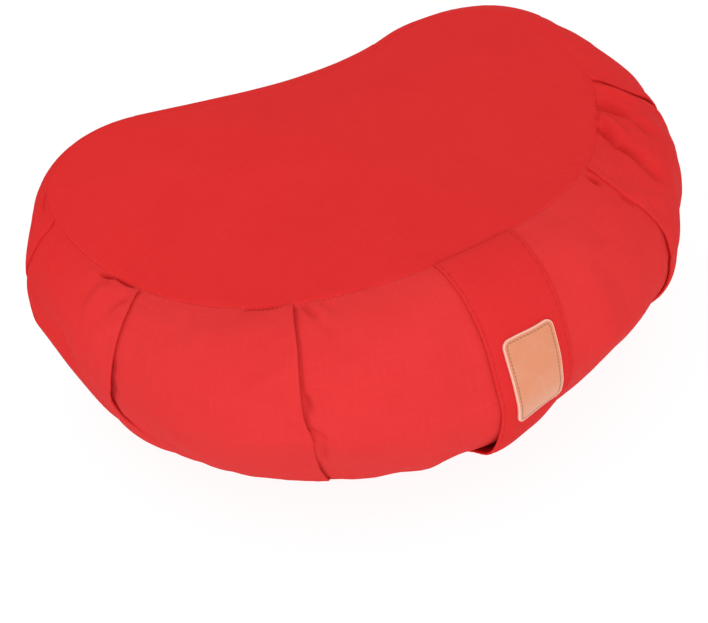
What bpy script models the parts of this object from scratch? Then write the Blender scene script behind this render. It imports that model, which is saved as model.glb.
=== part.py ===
"""A crescent meditation cushion.

A firmly filled cushion of plain cotton: a crescent top panel, a crescent bottom panel and a side band laid in
pleats between them. A carry handle of the same cloth lies down the front of the band, sewn into both seams, and a
leather patch is sewn on the handle.

Metres, +Z up. The cushion rests on z = 0. Its rounded front faces -Y, its hollow heel side faces +Y and its two
horns point to -X and +X. Going round the cushion, an angle of 0 is the front middle and it grows towards +X.
"""

import math

import bmesh
import bpy
from mathutils import Vector

# Plan of the two panels: a front arc, a horn arc at each end and a hollow heel arc, each tangent to the next.
HORN_X = 0.1076  # from the middle to the centre of a horn arc
HORN_RADIUS = 0.0538
FRONT_REACH = 0.1798  # from the line through the horn centres to the front seam
HEEL_REACH = 0.0361  # from that line to the heel seam
PLAN_SHIFT = Vector((-0.0035, 0.0776))  # puts the middle of the whole cushion over the origin

# How the hand-sewn shape departs from the even one, as waves going round: waves a turn, cosine and sine part.
PLAN_WAVES = ((1, -0.0036, -0.0017), (2, -0.0004, 0.0023), (3, 0.0020, -0.0023))
TOP_WAVES = ((1, -0.0034, -0.0011), (2, 0.0057, 0.0024), (3, 0.0038, -0.0022))
BULGE_WAVES = ((1, 0.0060, 0.0027), (2, 0.0076, -0.0012), (3, -0.0042, -0.0013))

# Section of the band, from the top seam out to its widest and in again to the bottom seam.
TOP_SEAM_Z = 0.1329
WIDEST_Z = 0.0748
BOTTOM_SEAM_Z = 0.0026
FRONT_BULGE = 0.0408
HEEL_BULGE = 0.0222
SHOULDER = 2.30  # roundness above the widest line: 1 is straight, 2 an ellipse, more is boxier
UNDERSIDE = 1.26  # roundness below it
CROWN = 0.0092
PANEL_MIDDLE = Vector((0.0, -0.060))  # the highest point of the top panel, before the shift
SEAM_DEPTH = 0.0014  # how far the stitching draws the seam in

# Pleats of the band: place round the top seam, lean towards the handle in the upper half and at the foot, in
# degrees, and the height of the folded edge. That edge belongs to the cloth on the side away from the handle.
PLEATS = (
    (42.0, 5.6, 3.0, 0.0036),
    (79.9, 7.9, 6.9, 0.0034),
    (115.5, 4.8, 4.0, 0.0020),
    (151.9, 3.8, 3.3, 0.0014),
    (213.8, 3.8, 3.2, 0.0014),
    (252.2, 2.3, -7.2, 0.0034),
    (283.1, 2.3, -10.1, 0.0036),
    (320.4, 2.0, 4.0, 0.0036),
)
FOLD_LENGTH = 0.016  # along the band, how soon a folded edge dies away
TUCK_SHARE = 0.8  # depth of the tuck beside a folded edge, as a share of the edge's height
PLEAT_WIDTH = 0.0012  # from a folded edge to the bottom of its tuck
PUFF = 0.0045  # how far the cloth swells between two pleats

# Soft dents of the band, and swellings where the depth is negative: place round it and half width in degrees,
# share of the way down and half height of that kind, depth.
DENTS = (
    (14.0, 8.0, 0.85, 0.20, 0.0040),
    (18.0, 14.0, 0.84, 0.30, 0.0070),
    (45.0, 8.0, 0.74, 0.20, -0.0090),
    (55.0, 12.0, 0.50, 0.25, 0.0045),
    (97.0, 14.0, 0.36, 0.35, 0.0056),
    (121.0, 16.0, 0.17, 0.17, -0.0110),
    (128.0, 30.0, 0.24, 0.28, -0.0070),
    (236.0, 17.0, 0.33, 0.35, 0.0085),
    (251.0, 12.0, 0.42, 0.26, -0.0030),
    (255.0, 14.0, 0.78, 0.30, 0.0035),
    (265.0, 10.0, 0.50, 0.20, 0.0068),
    (269.0, 15.0, 0.70, 0.33, 0.0045),
    (282.0, 12.0, 0.80, 0.25, -0.0066),
    (325.0, 20.0, 0.85, 0.30, 0.0100),
)

# Carry handle and leather patch.
HANDLE_WIDTH = 0.0500
HANDLE_THICKNESS = 0.0020
HANDLE_X = PLAN_SHIFT.x
HANDLE_PRESS = 0.0035  # how far it presses the band in
HANDLE_DRAW = 0.0180  # how far it draws the bottom seam in
DRAW_STARTS = 0.76  # share of the way down the band
HANDLE_ENDS = (0.012, 0.955)  # share of the way down the band
HANDLE_SLACK = (0.0055, 0.0004)  # how far it hangs off low down, at its -X edge and its +X edge
SLACK_SPAN = (0.55, 0.82, 0.86, 0.96)  # share of the way down where the slack starts, is full, and is gone
PATCH_WIDTH = 0.0320
PATCH_HEIGHT = 0.0525
PATCH_THICKNESS = 0.0018
PATCH_CORNER = 0.0045
PATCH_CENTRE = (PLAN_SHIFT.x + 0.0005, 0.0858)  # X, and height above the surface it rests on
GAP = 0.0006  # left between two pieces that touch
FLOOR_GAP = 0.0004

# How finely each form is drawn.
COLUMNS_IN_GAP = (26, 10, 10, 10, 14, 10, 10, 10)  # in each stretch between two pleats, from the front one on
CROWDING = (0.04, 0.12, 0.12, 0.12, 0.12, 0.12, 0.12, 0.12)  # how much closer they are beside the pleats
TOP_RINGS = (0.80, 0.62, 0.45, 0.30, 0.17, 0.08, 0.028)  # share of the way from the seam to the middle
BAND_ROWS = (
    0, 0.015, 0.05, 0.10, 0.16, 0.23, 0.30, 0.37, 0.44, 0.51, 0.58, 0.65,
    0.72, 0.78, 0.83, 0.87, 0.905, 0.935, 0.965, 0.985, 1,
)
BASE_RINGS = (0.045, 0.50)
HANDLE_COLUMNS = 12
PATCH_CELLS = (4, 7)

COTTON_RED = (0.72, 0.035, 0.038, 1.0)
LEATHER_TAN = (0.80, 0.36, 0.20, 1.0)

TURN = 2 * math.pi


def waves(table, angle):
    return sum(c * math.cos(k * angle) + s * math.sin(k * angle) for k, c, s in table)


def smoothstep(low, high, value):
    x = min(max((value - low) / (high - low), 0.0), 1.0)
    return x * x * (3 - 2 * x)


class Plan:
    """The even crescent of four tangent arcs, walked at a steady pace from the front middle."""

    def __init__(self):
        reach, horn, heel = FRONT_REACH, HORN_RADIUS, HEEL_REACH
        self.front_radius = (HORN_X**2 + reach**2 - horn**2) / (2 * (reach - horn))
        self.front_y = self.front_radius - reach
        self.heel_radius = (HORN_X**2 + heel**2 - horn**2) / (2 * (horn - heel))
        self.heel_y = heel + self.heel_radius
        self.front_angle = math.atan2(HORN_X, self.front_y)
        self.heel_angle = math.atan2(HORN_X, self.heel_y)
        self.front_length = self.front_radius * self.front_angle
        self.horn_length = horn * (math.pi + self.heel_angle - self.front_angle)
        self.heel_length = self.heel_radius * self.heel_angle
        self.half_length = self.front_length + self.horn_length + self.heel_length

    def at(self, angle):
        """(point, outward normal) at this angle round the cushion."""
        turned = angle % TURN
        side = 1 if turned <= math.pi else -1
        walked = self.half_length * min(turned, TURN - turned) / math.pi
        if walked <= self.front_length:
            a = walked / self.front_radius
            normal = Vector((math.sin(a), -math.cos(a)))
            point = Vector((0, self.front_y)) + self.front_radius * normal
        elif walked <= self.front_length + self.horn_length:
            a = self.front_angle + (walked - self.front_length) / HORN_RADIUS
            normal = Vector((math.sin(a), -math.cos(a)))
            point = Vector((HORN_X, 0)) + HORN_RADIUS * normal
        else:
            a = (self.half_length - walked) / self.heel_radius
            normal = Vector((-math.sin(a), math.cos(a)))
            point = Vector((0, self.heel_y)) - self.heel_radius * normal
        return Vector((side * point.x, point.y)), Vector((side * normal.x, normal.y))


PLAN = Plan()


def pleat_line(number, down):
    """Angle of a pleat at this share of the way down the band. Numbers run on past a full turn."""
    turns, index = divmod(number, len(PLEATS))
    place, upper, foot, _ = PLEATS[index]
    towards_handle = -1 if place < 180 else 1
    lean = upper * smoothstep(0.0, 0.26, down) + (foot - upper) * smoothstep(0.30, 0.85, down)
    leaned = place + towards_handle * lean
    return math.radians(leaned) + turns * TURN


def gap_angle(gap, share, down):
    """Angle at a share of the way across a gap between two pleats. Gap 0 is the front one, which holds the handle."""
    start = pleat_line(gap - 1, down)
    end = pleat_line(gap, down)
    tuck = 0.5 * PLEAT_WIDTH * math.pi / PLAN.half_length
    return start + tuck + (end - start - 2 * tuck) * share


def edge_relief(number, is_start):
    """Relief of one side of a pleat: the folded edge on the side away from the handle, the tuck on the other."""
    place, _, _, height = PLEATS[number % len(PLEATS)]
    away_from_handle = is_start == (place < 180)
    return height if away_from_handle else -TUCK_SHARE * height


def dent_depth(angle, down, place, half_width, middle, half_height, depth):
    """Depth of one soft dent at this angle in degrees and this share of the way down."""
    aside = (angle - place + 180) % 360 - 180
    return depth * smoothstep(1, 0, abs(aside) / half_width) * smoothstep(1, 0, abs(down - middle) / half_height)


def relief(gap, share, down):
    """How far pleats and puff move the band's cloth out from its even form."""
    length = (pleat_line(gap, down) - pleat_line(gap - 1, down)) * PLAN.half_length / math.pi
    start = edge_relief(gap - 1, True) * math.exp(-share * length / FOLD_LENGTH)
    end = edge_relief(gap, False) * math.exp(-(1 - share) * length / FOLD_LENGTH)
    puff = PUFF * math.sin(math.pi * share)
    angle = gap_angle(gap, share, down)
    press = HANDLE_PRESS * near_handle(angle, 0.020)
    dents = sum(dent_depth(math.degrees(angle), down, *dent) for dent in DENTS)
    folds = (start + end) * smoothstep(0, 0.09, down) * smoothstep(0, 0.22, 1 - down)
    return folds + (puff - press - dents) * smoothstep(0, 0.35, min(down, 1 - down))


def near_handle(angle, reach):
    """1 under the handle, falling to 0 at this reach beside it."""
    off_middle = abs(angle - TURN * round(angle / TURN)) * PLAN.half_length / math.pi
    return 1 - smoothstep(0.001, reach, off_middle - HANDLE_WIDTH / 2)


def seam_point(gap, share, down):
    """(point of the panel's edge, outward normal, angle), in plan."""
    angle = gap_angle(gap, share, down)
    point, normal = PLAN.at(angle)
    drawn = HANDLE_DRAW * smoothstep(DRAW_STARTS, 1.0, down) * near_handle(angle, 0.020)
    return point + PLAN_SHIFT + (waves(PLAN_WAVES, angle) - drawn) * normal, normal, angle


def band_point(gap, share, down):
    """A point of the side band, from the top seam (down = 0) to the bottom seam (down = 1)."""
    edge, normal, angle = seam_point(gap, share, down)
    heel_side = max(normal.y, 0.0)
    bulge = FRONT_BULGE + (HEEL_BULGE - FRONT_BULGE) * heel_side + waves(BULGE_WAVES, angle)
    across, along = math.sin(math.pi * down), math.cos(math.pi * down)
    if down <= 0.5:
        rise = TOP_SEAM_Z + waves(TOP_WAVES, angle) - WIDEST_Z
        z = WIDEST_Z + rise * along ** (2 / SHOULDER)
        out = bulge * across ** (2 / SHOULDER)
    else:
        z = WIDEST_Z - (WIDEST_Z - BOTTOM_SEAM_Z) * (-along) ** (2 / UNDERSIDE)
        out = bulge * max(across, 0.0) ** (2 / UNDERSIDE)
    out += relief(gap, share, down)
    if down in (0, 1):
        z += -SEAM_DEPTH if down == 0 else 0.5 * SEAM_DEPTH
    plan = edge + out * normal
    return Vector((plan.x, plan.y, z))


def top_point(gap, share, inward):
    """A point of the top panel, from its seam (0) to its middle (1)."""
    edge, _, angle = seam_point(gap, share, 0.0)
    plan = edge.lerp(PANEL_MIDDLE + PLAN_SHIFT, inward)
    z = TOP_SEAM_Z + waves(TOP_WAVES, angle) * (1 - inward) + CROWN * (1 - (1 - inward) ** 2)
    return Vector((plan.x, plan.y, z))


def base_point(gap, share, inward):
    """A point of the flat bottom panel, which lies on z = 0."""
    edge, _, _ = seam_point(gap, share, 1.0)
    plan = edge.lerp(PANEL_MIDDLE + PLAN_SHIFT, inward)
    return Vector((plan.x, plan.y, 0.0))


def column_places():
    """(gap, share) of each column of the cushion's mesh, closer together beside the pleats."""
    places = []
    for gap in range(len(PLEATS)):
        steps = COLUMNS_IN_GAP[gap]
        for step in range(steps + 1):
            even = step / steps
            places.append((gap, even - CROWDING[gap] * math.sin(TURN * even)))
    return places


def row_places():
    """(surface, share) of each row of the cushion's mesh, from the middle of the top to the middle of the base."""
    top = [(top_point, inward) for inward in (1.0, *TOP_RINGS)]
    band = [(band_point, down) for down in BAND_ROWS]
    base = [(base_point, inward) for inward in (*BASE_RINGS, 1.0)]
    return top + band + base


def add_object(name, mesh, material, collection):
    obj = bpy.data.objects.new(name, mesh)
    obj.data.materials.append(material)
    obj.data.shade_smooth()
    collection.objects.link(obj)
    return obj


def cloth(name, colour, roughness):
    material = bpy.data.materials.new(name)
    material.use_nodes = True
    shader = material.node_tree.nodes["Principled BSDF"]
    shader.inputs["Base Color"].default_value = colour
    shader.inputs["Roughness"].default_value = roughness
    shader.inputs["Metallic"].default_value = 0.0
    return material


def make_cushion(material, collection):
    """A ball whose meridians become the columns and whose parallels become the rows of the filled cushion."""
    columns, rows = column_places(), row_places()
    bm = bmesh.new()
    last_row = len(rows) - 1
    bmesh.ops.create_uvsphere(bm, u_segments=len(columns), v_segments=last_row, radius=1.0)
    for vert in bm.verts:
        column = round(math.atan2(vert.co.x, -vert.co.y) / TURN * len(columns)) % len(columns)
        row = round(math.acos(min(max(vert.co.z, -1.0), 1.0)) / math.pi * last_row)
        surface, share = rows[row]
        vert.co = surface(*columns[column], share)
    mesh = bpy.data.meshes.new("cushion")
    bm.to_mesh(mesh)
    bm.free()
    return add_object("cushion", mesh, material, collection)


def share_at_x(x, down):
    """Share of the way across the front gap where the band has this X."""
    low, high = 0.0, 1.0
    for _ in range(40):
        middle = (low + high) / 2
        if band_point(0, middle, down).x < x:
            low = middle
        else:
            high = middle
    return low


def handle_point(x, down, height):
    """A point at this height over the band, straight down the front at this X, with the handle's slack."""
    step = 0.004
    share = share_at_x(x, down)
    here = band_point(0, share, down)
    along = band_point(0, share + step, down) - band_point(0, share - step, down)
    fall = band_point(0, share, min(down + step, 1)) - band_point(0, share, max(down - step, 0))
    normal = fall.cross(along).normalized()
    start, full, kept, gone = SLACK_SPAN
    slack_here = smoothstep(start, full, down) * (1 - smoothstep(kept, gone, down))
    towards_right = 0.5 + (x - HANDLE_X) / HANDLE_WIDTH
    slack = slack_here * (HANDLE_SLACK[0] + (HANDLE_SLACK[1] - HANDLE_SLACK[0]) * towards_right)
    point = here + normal * (height + slack)
    point.z = max(point.z, HANDLE_THICKNESS / 2 + FLOOR_GAP)
    return point


def thicken(obj, thickness):
    """Gives an open sheet its thickness, half to each side."""
    solidify = obj.modifiers.new("thickness", "SOLIDIFY")
    solidify.thickness = thickness
    solidify.offset = 0.0
    solidify.use_even_offset = True
    return obj


def make_handle(material, collection):
    bm = bmesh.new()
    first, last = HANDLE_ENDS
    rows = [first] + [down for down in BAND_ROWS if first + 0.01 < down < last - 0.01] + [last]
    steps = len(rows) - 1
    bmesh.ops.create_grid(bm, x_segments=HANDLE_COLUMNS, y_segments=steps, size=1.0)
    middle = GAP + HANDLE_THICKNESS / 2
    for vert in bm.verts:
        row = round((1 - vert.co.y) / 2 * steps)
        x = HANDLE_X + vert.co.x * HANDLE_WIDTH / 2
        vert.co = handle_point(x, rows[row], middle)
    mesh = bpy.data.meshes.new("carry_handle")
    bm.to_mesh(mesh)
    bm.free()
    return thicken(add_object("carry_handle", mesh, material, collection), HANDLE_THICKNESS)


def down_at_height(z):
    """Share of the way down the band's front middle where it has this height."""
    low, high = 0.0, 1.0
    for _ in range(40):
        middle = (low + high) / 2
        if handle_point(HANDLE_X, middle, 0).z > z:
            low = middle
        else:
            high = middle
    return low


def down_along_handle(distance):
    """Share of the way down the band at this distance below the patch's centre, measured along the handle."""
    down = down_at_height(PATCH_CENTRE[1])
    steps = 24
    for _ in range(steps):
        ahead = handle_point(HANDLE_X, down + 0.005, 0) - handle_point(HANDLE_X, down - 0.005, 0)
        down += distance / steps * 0.010 / ahead.length
    return down


def make_patch(material, collection):
    """A rounded rectangle, laid flat first and then bent onto the handle."""
    bm = bmesh.new()
    columns, rows = PATCH_CELLS
    bmesh.ops.create_grid(bm, x_segments=columns, y_segments=rows, size=0.5)
    for vert in bm.verts:
        vert.co = Vector((vert.co.x * PATCH_WIDTH, vert.co.y * PATCH_HEIGHT, 0))
    corners = [vert for vert in bm.verts if len(vert.link_edges) == 2]
    bmesh.ops.bevel(bm, geom=corners, affect="VERTICES", offset=PATCH_CORNER, segments=4, profile=0.5)
    over_band = GAP + HANDLE_THICKNESS + GAP + PATCH_THICKNESS / 2
    for vert in bm.verts:
        down = down_along_handle(-vert.co.y)
        vert.co = handle_point(PATCH_CENTRE[0] + vert.co.x, down, over_band)
    mesh = bpy.data.meshes.new("leather_patch")
    bm.to_mesh(mesh)
    bm.free()
    return thicken(add_object("leather_patch", mesh, material, collection), PATCH_THICKNESS)


def main():
    for obj in list(bpy.data.objects):
        bpy.data.objects.remove(obj, do_unlink=True)
    collection = bpy.data.collections.new("crescent_cushion")
    bpy.context.scene.collection.children.link(collection)
    cotton = cloth("red cotton", COTTON_RED, 0.9)
    leather = cloth("tan leather", LEATHER_TAN, 0.55)
    make_cushion(cotton, collection)
    make_handle(cloth("red cotton handle", COTTON_RED, 0.9), collection)
    make_patch(leather, collection)


main()
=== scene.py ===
"""Looks of the crescent meditation cushion: its filled cotton cover, the carry handle down its front and the leather
patch on the handle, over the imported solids.

Metres, +Z up. The cushion rests on z = 0, its rounded front faces -Y and its horns point to -X and +X. Going round
it, an angle of 0 is the front middle and it grows towards +X. Going down the side band, 0 is the top seam and 1 the
bottom seam. The sizes are those of the solids.
"""

import math

import bpy
import numpy as np
from mathutils import Matrix, Vector


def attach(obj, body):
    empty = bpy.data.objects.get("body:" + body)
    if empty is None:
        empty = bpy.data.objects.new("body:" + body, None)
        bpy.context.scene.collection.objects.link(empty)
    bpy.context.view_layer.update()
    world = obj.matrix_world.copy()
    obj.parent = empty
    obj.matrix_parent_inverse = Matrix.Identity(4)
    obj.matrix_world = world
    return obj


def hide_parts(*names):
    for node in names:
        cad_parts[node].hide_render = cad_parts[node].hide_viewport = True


TURN = 2 * math.pi

# ---- Cut of the cushion, as the solids have it ----

HORN_X = 0.1076
HORN_RADIUS = 0.0538
FRONT_REACH = 0.1798
HEEL_REACH = 0.0361
PLAN_SHIFT = np.array((-0.0035, 0.0776))
PLAN_WAVES = ((1, -0.0036, -0.0017), (2, -0.0004, 0.0023), (3, 0.0020, -0.0023))
TOP_WAVES = ((1, -0.0034, -0.0011), (2, 0.0057, 0.0024), (3, 0.0038, -0.0022))
BULGE_WAVES = ((1, 0.0060, 0.0027), (2, 0.0076, -0.0012), (3, -0.0042, -0.0013))
TOP_SEAM_Z = 0.1329
WIDEST_Z = 0.0748
BOTTOM_SEAM_Z = 0.0026
FRONT_BULGE = 0.0408
HEEL_BULGE = 0.0222
SHOULDER = 2.30
UNDERSIDE = 1.26
CROWN = 0.0092
PANEL_MIDDLE = np.array((0.0, -0.060)) + PLAN_SHIFT
SEAM_DEPTH = 0.0006
SEAM_HOLD = 0.35  # share of the way down within which a seam holds the cloth
PUFF = 0.0045
REAR_LIP = ((0, 0.1), (0.10, 0.2), (0.30, 1.2), (0.50, 1.5), (1, 0.5))
REAR_OPENING = ((0, -1.5), (0.12, -1.4), (0.30, -0.5), (0.50, 0.4), (1, 0.4))
PLEATS = (  # each: its line as (share down, degrees round); its lip's height and its opening as (share down, mm)
    (
        ((0, 42.0), (0.024, 40.6), (0.074, 38.2), (0.124, 37.1), (0.173, 36.7), (0.226, 37.0), (0.277, 37.6),
         (0.328, 38.3), (0.382, 39.3), (0.419, 40.0), (0.46, 40.3), (0.50, 40.6), (0.55, 41.6), (0.62, 43.5),
         (1, 46.0)),
        ((0, 0.4), (0.05, 1.1), (0.30, 1.4), (0.42, 1.7), (0.50, 2.4), (0.80, 1.2), (1, 0.5)),
        ((0, -0.4), (0.04, -0.2), (0.12, -0.5), (0.34, -0.5), (0.44, 0.6), (0.55, 0.8), (1, 0.2)),
    ),
    (
        ((0, 79.9), (0.039, 78.3), (0.072, 76.6), (0.107, 75.2), (0.152, 74.4), (0.201, 74.6), (0.25, 75.5),
         (0.31, 76.5), (0.45, 78.0), (1, 78.0)),
        ((0, 0.6), (0.04, 1.2), (0.30, 1.6), (0.50, 1.6), (0.80, 1.2), (1, 0.5)),
        ((0, -0.2), (0.06, 0.1), (0.10, -0.3), (0.16, -0.1), (0.24, 0.4), (0.45, 0.4), (1, 0.4)),
    ),
    (
        ((0, 115.5), (0.06, 113.5), (0.14, 111.6), (0.25, 110.8), (0.50, 111.0), (1, 111.5)),
        ((0, 0.1), (0.08, 0.3), (0.30, 1.2), (0.60, 1.5), (1, 0.5)),
        REAR_OPENING,
    ),
    (((0, 151.9), (0.08, 150.0), (0.20, 148.4), (0.50, 148.0), (1, 148.6)), REAR_LIP, REAR_OPENING),
    (((0, 213.8), (0.08, 215.6), (0.20, 217.2), (0.50, 217.6), (1, 217.0)), REAR_LIP, REAR_OPENING),
    (
        ((0, 252.3), (0.05, 253.6), (0.088, 254.0), (0.15, 253.8), (0.213, 253.4), (0.282, 252.6), (0.40, 250.0),
         (0.55, 246.5), (0.75, 245.5), (1, 245.0)),
        ((0, 0.3), (0.05, 0.7), (0.30, 1.1), (0.60, 1.3), (0.80, 1.0), (1, 0.5)),
        ((0, -0.5), (0.30, -0.5), (0.60, 0.3), (1, 0.3)),
    ),
    (
        ((0, 282.9), (0.069, 283.9), (0.124, 284.6), (0.179, 284.8), (0.229, 284.9), (0.279, 284.8), (0.333, 284.6),
         (0.377, 284.3), (0.422, 283.9), (0.478, 283.2), (0.578, 281.4), (0.617, 280.6), (0.65, 280.8), (0.692, 283.0),
         (0.745, 284.8), (1, 286.6)),
        ((0, 0.7), (0.05, 1.6), (0.30, 2.2), (0.45, 2.8), (0.60, 2.8), (0.66, 1.9), (0.72, 0.5), (1, 0.2)),
        ((0, -0.1), (0.34, -0.1), (0.40, 1.2), (0.44, 0.8), (0.50, 2.2), (0.60, 1.0), (0.65, 0.8), (0.70, -0.6),
         (0.74, -1.3), (1, -1.3)),
    ),
    (
        ((0, 320.2), (0.069, 320.9), (0.133, 321.5), (0.195, 321.9), (0.293, 322.0), (0.381, 322.0), (0.421, 322.1),
         (0.454, 322.4), (0.498, 323.0), (0.581, 322.7), (0.676, 322.0), (0.777, 321.3), (1, 321.5)),
        ((0, 0.8), (0.03, 1.7), (0.30, 2.2), (0.42, 2.5), (0.47, 1.7), (0.53, 0.3), (0.68, 0.3), (0.76, 1.3), (1, 0.5)),
        ((0, 0.3), (0.04, 0.3), (0.20, 0.1), (0.32, 0.5), (0.40, 1.0), (0.45, 0.1), (0.50, -0.5), (0.70, -0.5),
         (1, 0.3)),
    ),
)
VALLEY = (0.2, 0.4, 0.3, 0.3, 0.3, 0.1, 0.5, 1.0)  # mm that the cloth sinks beside each folded edge
FULL_LIP = 0.0012  # height of the folded edge from which its valley has that depth
ON_THE_RIGHT = 4  # the first pleats, right of the handle, have their folded edge on their far side
DENTS = (  # place and half width in degrees, share of the way down and half height, depth
    (14.0, 8.0, 0.85, 0.20, 0.0040),
    (18.0, 14.0, 0.84, 0.30, 0.0070),
    (45.0, 8.0, 0.74, 0.20, -0.0090),
    (55.0, 12.0, 0.50, 0.25, 0.0045),
    (97.0, 14.0, 0.36, 0.35, 0.0056),
    (121.0, 16.0, 0.17, 0.17, -0.0110),
    (128.0, 30.0, 0.24, 0.28, -0.0070),
    (236.0, 17.0, 0.33, 0.35, 0.0085),
    (251.0, 12.0, 0.42, 0.26, -0.0030),
    (255.0, 14.0, 0.78, 0.30, 0.0035),
    (265.0, 10.0, 0.50, 0.20, 0.0068),
    (269.0, 15.0, 0.70, 0.33, 0.0045),
    (282.0, 12.0, 0.80, 0.25, -0.0066),
    (325.0, 20.0, 0.85, 0.30, 0.0100),
)
CLOTH_DENTS = (  # of the cloth alone: place and half width in degrees, height over the floor and half height, depth
    (353.2, 9.9, 0.0520, 0.048, -0.0070),
    (7.8, 6.4, 0.0320, 0.034, 0.0032),
    (26.0, 14.0, 0.0340, 0.032, 0.0026),
    (65.0, 6.0, 0.0840, 0.030, 0.0016),
    (75.0, 6.0, 0.1020, 0.024, -0.0022),
    (264.0, 10.0, 0.0780, 0.026, 0.0024),
    (287.0, 11.0, 0.0280, 0.028, 0.0028),
)
HANDLE_WIDTH = 0.0500
HANDLE_THICKNESS = 0.0020
HANDLE_X = PLAN_SHIFT[0]
HANDLE_PRESS = 0.0035
PRESS_EDGE = (0.001, 0.020)  # metres beside the handle, where its hold on the cloth eases off
HANDLE_DRAW = 0.0180
DRAW_STARTS = 0.76
HANDLE_SLACK = (0.0036, 0.0008)  # how far it hangs off low down, at its -X edge and its +X edge
SLACK_SPAN = (0.631, 0.741, 0.735, 0.825)  # share of the way down where it starts, is full, starts to fall, is gone
HANDLE_FOOT = 0.955  # share of the way down where it ends
HANDLE_CLEARANCE = 0.0005  # over the floor
PATCH_WIDTH = 0.0320
PATCH_HEIGHT = 0.0525
PATCH_THICKNESS = 0.0018
PATCH_CORNER = 0.0045
PATCH_X = PLAN_SHIFT[0] - 0.0002
PATCH_Z = 0.0863

# ---- Sewing, which only the looks have ----

LIP_RADIUS = 0.0008  # of the rounded folded edge of a pleat
TUCK_DEPTH = 0.0010  # how far a closed pleat's cloth goes in under its folded edge
TUCK_SPAN = (0.03, 0.96)  # share of the way down between which it goes in that far
GAPE_DEPTH = 2.2  # how much deeper it goes in where the pleat is open, as a share of the opening
TURN_DEPTH = 0.3  # and how much deeper still where it turns back
LIP_MARGIN = 0.0009  # kept for a pleat's own columns on the side of its folded edge
TUCK_MARGIN = 0.0004  # and on its other side
SEWN_LIP = 0.35  # share of its height that a folded edge keeps in the seams
LIP_REACH = 0.016  # how soon the height of a folded edge dies away on its own side
TUCK_REACH = 0.010  # and on the tuck's side
VALLEY_WIDTH = 0.0011
FOLD_SPAN = (0.016, 0.975)  # share of the way down between which a pleat's fold is whole
HIDDEN_SEAM = 0.45  # share of its depth that the seam has along the heel
SEAM_SHOWS = ((242, 268), (105, 78))  # degrees on the left and on the right where it starts to show, and shows fully
PAINTED_LIGHT_REACH = ((255, 285), (72, 8))  # the same for the painted light that makes the front of the band paler
REST_CLEARANCE = 0.0006  # of the band over the floor
GROOVE_WIDTH = 0.0010  # how far the seam's groove reaches into each panel
PUCKER_PITCH = 0.0068
PUCKER_HEIGHT = 0.00030
PUCKER_REACH = 0.0060
CREASES = (  # soft folds of the band: angle and share down of both ends, half width, height (a trough is negative)
    (60.3, 0.004, 53.3, 0.075, 0.0026, -0.0052),
    (53.8, 0.065, 50.2, 0.180, 0.0040, -0.0098),
    (50.4, 0.160, 48.6, 0.277, 0.0050, -0.0066),
    (64.4, 0.002, 55.7, 0.102, 0.0034, 0.0044),
    (70.5, 0.003, 64.7, 0.144, 0.0056, -0.0074),
    (64.7, 0.144, 60.5, 0.206, 0.0052, -0.0044),
    (38.8, 0.026, 36.5, 0.082, 0.0022, -0.0042),
    (36.2, 0.165, 36.6, 0.235, 0.0020, -0.0020),
    (309.0, 0.006, 319.6, 0.006, 0.0013, -0.0024),
    (76.2, 0.017, 70.8, 0.198, 0.0036, 0.0016),
    (321.9, 0.003, 325.9, 0.083, 0.0020, -0.0026),
    (325.9, 0.083, 328.2, 0.142, 0.0028, -0.0014),
    (326.3, 0.004, 329.1, 0.063, 0.0024, -0.0014),
    (322.2, 0.040, 324.6, 0.122, 0.0024, 0.0012),
    (322.5, 0.345, 323.0, 0.412, 0.0022, -0.0024),
    (322.8, 0.467, 325.2, 0.498, 0.0020, -0.0030),
    (324.2, 0.517, 323.0, 0.701, 0.0022, -0.0020),
    (272.6, 0.030, 275.7, 0.006, 0.0022, -0.0060),
    (275.7, 0.006, 282.6, 0.010, 0.0016, -0.0042),
    (281.8, 0.079, 279.0, 0.200, 0.0032, -0.0024),
    (276.5, 0.065, 276.0, 0.299, 0.0042, 0.0026),
    (273.4, 0.054, 273.2, 0.197, 0.0036, -0.0014),
    (279.8, 0.305, 275.5, 0.560, 0.0030, 0.0009),
    (283.8, 0.660, 287.6, 0.725, 0.0034, -0.0034),
    (244.0, 0.012, 249.7, 0.060, 0.0016, -0.0014),
    (245.2, 0.059, 252.1, 0.166, 0.0020, 0.0008),
    (247.2, 0.134, 251.8, 0.231, 0.0016, -0.0012),
    (253.7, 0.454, 256.2, 0.487, 0.0020, -0.0022),
)

# ---- Photographer's place ----

CAMERA_AT = (-0.45186, -0.88888, 0.79999)
CAMERA_AZIMUTH = -25.305
CAMERA_ELEVATION = 37.369
CAMERA_ROLL = -8.845
CAMERA_LENS = 106.683

# ---- Colours, in linear light ----

PANEL_RED = (0.660, 0.0276, 0.0276)
# Painted light: the cover's red made paler for the front of the band, as if more light fell there
PAINTED_LIT_RED = (0.676, 0.0375, 0.0380)
STRAP_RED = (0.655, 0.0290, 0.0292)
# Painted shade: the dark red of the seam's sunken stitch marks
STITCH_SHADE_RED = (0.300, 0.0090, 0.0090)
THREAD_RED = (0.480, 0.0150, 0.0150)
LEATHER_TAN = (0.660, 0.235, 0.115)
# Paler leather, for its cloudy tone and for the painted sheen low on the patch
LEATHER_PALE_AND_SHEEN = (0.700, 0.330, 0.210)
LEATHER_EDGE = (0.860, 0.520, 0.420)
THREAD_BROWN = (0.200, 0.120, 0.090)
FLOOR_WHITE = (0.13, 0.13, 0.13)
FLOOR_GLOW = 0.90
FLOOR_REACH = 4.0
FLOOR_GAP = 0.0002  # keeps the floor off the cushion's flat base


# ---- Shape of the cushion ----


def ease(low, high, value):
    """0 at low, 1 at high, smooth between."""
    x = np.clip((value - low) / (high - low), 0, 1)
    return x * x * (3 - 2 * x)


def bell(x, width):
    return np.exp(-((x / width) ** 2))


def waves(table, angle):
    return sum(c * np.cos(k * angle) + s * np.sin(k * angle) for k, c, s in table)


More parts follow.
